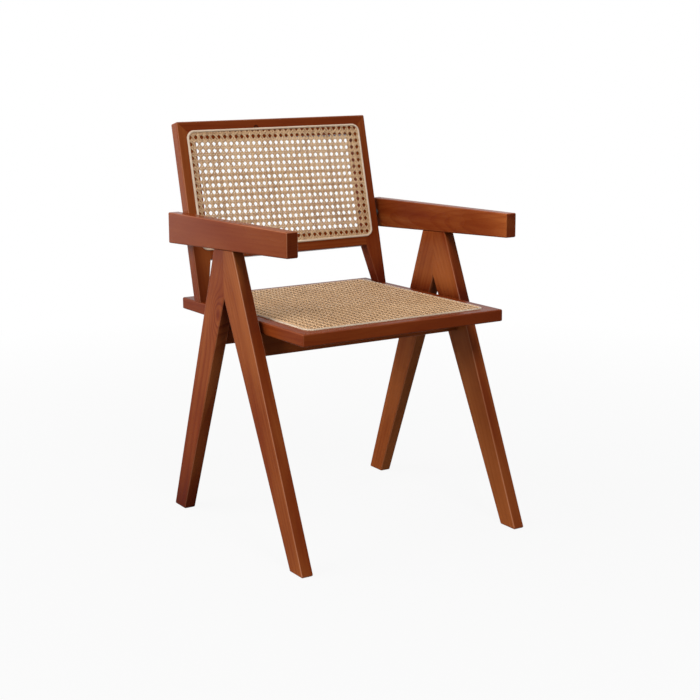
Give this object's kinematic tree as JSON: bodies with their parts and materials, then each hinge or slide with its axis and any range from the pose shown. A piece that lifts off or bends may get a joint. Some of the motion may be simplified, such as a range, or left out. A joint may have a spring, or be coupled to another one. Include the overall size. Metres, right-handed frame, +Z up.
{
  "type": "dining armchair",
  "caption": "Wooden dining armchair with inverted-V side frames, tapered arms, a mitred cane seat frame on crossbars and a leaning cane back.",
  "frame": {"origin": "on the floor, at the centre of the chair's outline seen from above", "axes": "+Z up, the chair faces -Y, +X to the right as seen from the front"},
  "size_m": [0.526, 0.573, 0.8109],
  "materials": {
    "stained_wood": "reddish-brown stain under a satin lacquer, with straight and cathedral grain",
    "joinery_wood": "bare beech tenons and dowels",
    "cane": "woven rattan cane, satin",
    "reed_spline": "pale reed, satin",
    "steel": "zinc-plated screws, bolts and threaded inserts",
    "spacer": "dark nylon collar"
  },
  "bodies": {
    "root": {"leg_front_right": "stained_wood", "leg_front_left": "stained_wood", "leg_rear_right": "stained_wood", "leg_rear_left": "stained_wood", "arm_right": "stained_wood", "arm_left": "stained_wood", "leg_head_tenons": "joinery_wood", "arm_dowels": "joinery_wood", "crossbar_front": "stained_wood", "crossbar_rear": "stained_wood", "seat_rail_front": "stained_wood", "seat_rail_rear": "stained_wood", "seat_rail_right": "stained_wood", "seat_rail_left": "stained_wood", "seat_corner_tenons": "joinery_wood", "seat_screws": "steel", "seat_cane": "cane", "seat_spline": "reed_spline", "back_upright_right": "stained_wood", "back_upright_left": "stained_wood", "back_top_rail": "stained_wood", "back_bottom_rail": "stained_wood", "back_corner_tenons": "joinery_wood", "back_cane": "cane", "back_spline": "reed_spline", "upright_dowels": "joinery_wood", "upright_screws": "steel", "arm_bolts": "steel", "arm_spacers": "spacer", "arm_inserts": "steel"}
  },
  "joints": []
}
